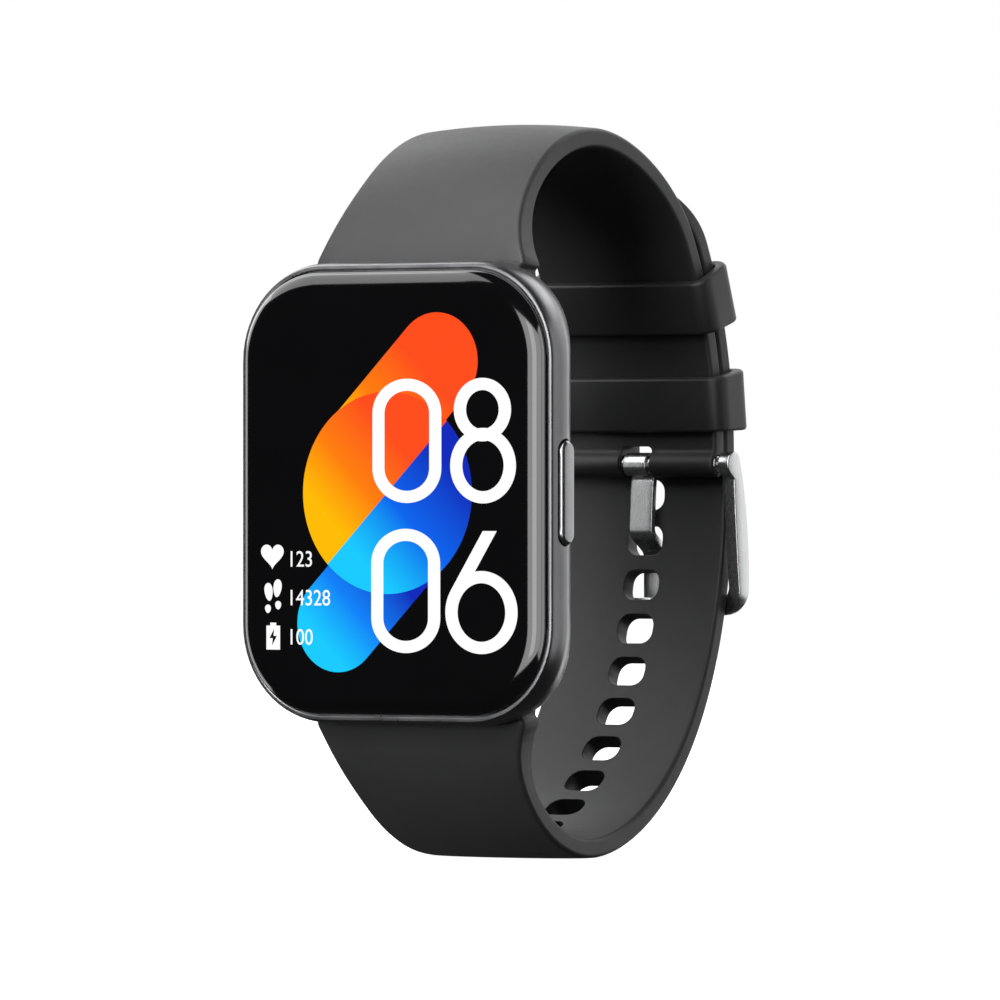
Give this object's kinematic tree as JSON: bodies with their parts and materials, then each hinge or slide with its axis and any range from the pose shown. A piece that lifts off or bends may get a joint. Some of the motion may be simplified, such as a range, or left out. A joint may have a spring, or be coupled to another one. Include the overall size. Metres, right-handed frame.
{
  "type": "smartwatch",
  "caption": "Rectangular smartwatch with a curved-edge glass, one side button and a perforated silicone strap buckled into a wrist loop.",
  "frame": {"origin": "centre of the flat face of the sensor window on the case back, where the watch meets the wrist", "axes": "+Y from the display to the wrist, +Z to twelve o'clock, +X to the side button"},
  "size_m": [0.0359, 0.0488, 0.0694],
  "materials": {
    "case_metal": "satin gunmetal anodised",
    "button_metal": "satin gunmetal with a bright bevel",
    "cover_glass": "polished, black behind",
    "sensor_glass": "polished black lens",
    "strap_silicone": "matte moulded silicone",
    "keeper_silicone": "matte moulded silicone",
    "buckle_steel": "brushed",
    "bar_steel": "turned",
    "screw_steel": "machined",
    "cover_plastic": "fine texture",
    "inner_plastic": "moulded",
    "display": "laminated",
    "circuit_board": "solder mask",
    "component": "moulded package",
    "led": "clear",
    "shield_metal": "plated",
    "flex_film": "polyimide film",
    "battery_foil": "laminated pouch",
    "seal_rubber": "moulded",
    "contact_gold": "gold plated"
  },
  "bodies": {
    "watch": {"case_body": "case_metal", "cover_glass": "cover_glass", "sensor_window": "sensor_glass", "upper_strap": "strap_silicone", "lower_strap": "strap_silicone", "fixed_keeper": "keeper_silicone", "upper_bar_tube": "bar_steel", "upper_bar_fixed_tip": "bar_steel", "upper_bar_spring": "bar_steel", "lower_bar_tube": "bar_steel", "lower_bar_fixed_tip": "bar_steel", "lower_bar_spring": "bar_steel", "buckle_bar_tube": "bar_steel", "buckle_bar_fixed_tip": "bar_steel", "buckle_bar_spring": "bar_steel", "back_screw_1": "screw_steel", "back_screw_2": "screw_steel", "back_screw_3": "screw_steel", "back_screw_4": "screw_steel", "back_cover": "cover_plastic", "inner_bracket": "inner_plastic", "glass_adhesive": "inner_plastic", "display_panel": "display", "main_board": "circuit_board", "sensor_board": "circuit_board", "antenna_chip": "component", "photodiode": "component", "optical_led_upper": "led", "optical_led_lower": "led", "shield_can": "shield_metal", "tact_switch": "shield_metal", "vibration_motor": "shield_metal", "display_flex": "flex_film", "battery": "battery_foil", "back_gasket": "seal_rubber", "charge_pad_left": "contact_gold", "charge_pad_right": "contact_gold"},
    "button": {"side_button": "button_metal", "button_seal": "seal_rubber", "button_clip": "bar_steel", "switch_plunger": "inner_plastic"},
    "free_keeper": {"free_keeper": "keeper_silicone"},
    "buckle": {"buckle_frame": "buckle_steel"},
    "tongue": {"buckle_tongue": "buckle_steel"},
    "upper_release": {"upper_bar_pin": "bar_steel"},
    "lower_release": {"lower_bar_pin": "bar_steel"},
    "buckle_tip": {"buckle_bar_pin": "bar_steel"}
  },
  "joints": [
    {"name": "side_button_press", "type": "slide", "parent": "watch", "child": "button", "axis": [-1, 0, 0], "range_m": [0, 0.00035], "stiffness_N_per_m": 60, "springref_m": -0.002},
    {"name": "free_keeper_slide", "type": "hinge", "parent": "watch", "child": "free_keeper", "pos_m": [0, -0.00725, 0.00393], "axis": [1, 0, 0], "range_deg": [-6.1, 5.4]},
    {"name": "buckle_swing", "type": "hinge", "parent": "watch", "child": "buckle", "pos_m": [0, 0.03368, 0.0028], "axis": [1, 0, 0], "range_deg": [0, 2]},
    {"name": "tongue_swing", "type": "hinge", "parent": "watch", "child": "tongue", "pos_m": [0, 0.03368, 0.0028], "axis": [1, 0, 0], "range_deg": [0, 2]},
    {"name": "upper_quick_release", "type": "slide", "parent": "watch", "child": "upper_release", "axis": [-1, 0, 0], "range_m": [0, 0.0013], "stiffness_N_per_m": 40, "springref_m": -0.002},
    {"name": "lower_quick_release", "type": "slide", "parent": "watch", "child": "lower_release", "axis": [-1, 0, 0], "range_m": [0, 0.0013], "stiffness_N_per_m": 40, "springref_m": -0.002},
    {"name": "buckle_tip_press", "type": "slide", "parent": "watch", "child": "buckle_tip", "axis": [-1, 0, 0], "range_m": [0, 0.001], "stiffness_N_per_m": 40, "springref_m": -0.002}
  ],
  "couplings": [
    {"joint": "tongue_swing", "follows": "buckle_swing", "ratio": 1}
  ]
}
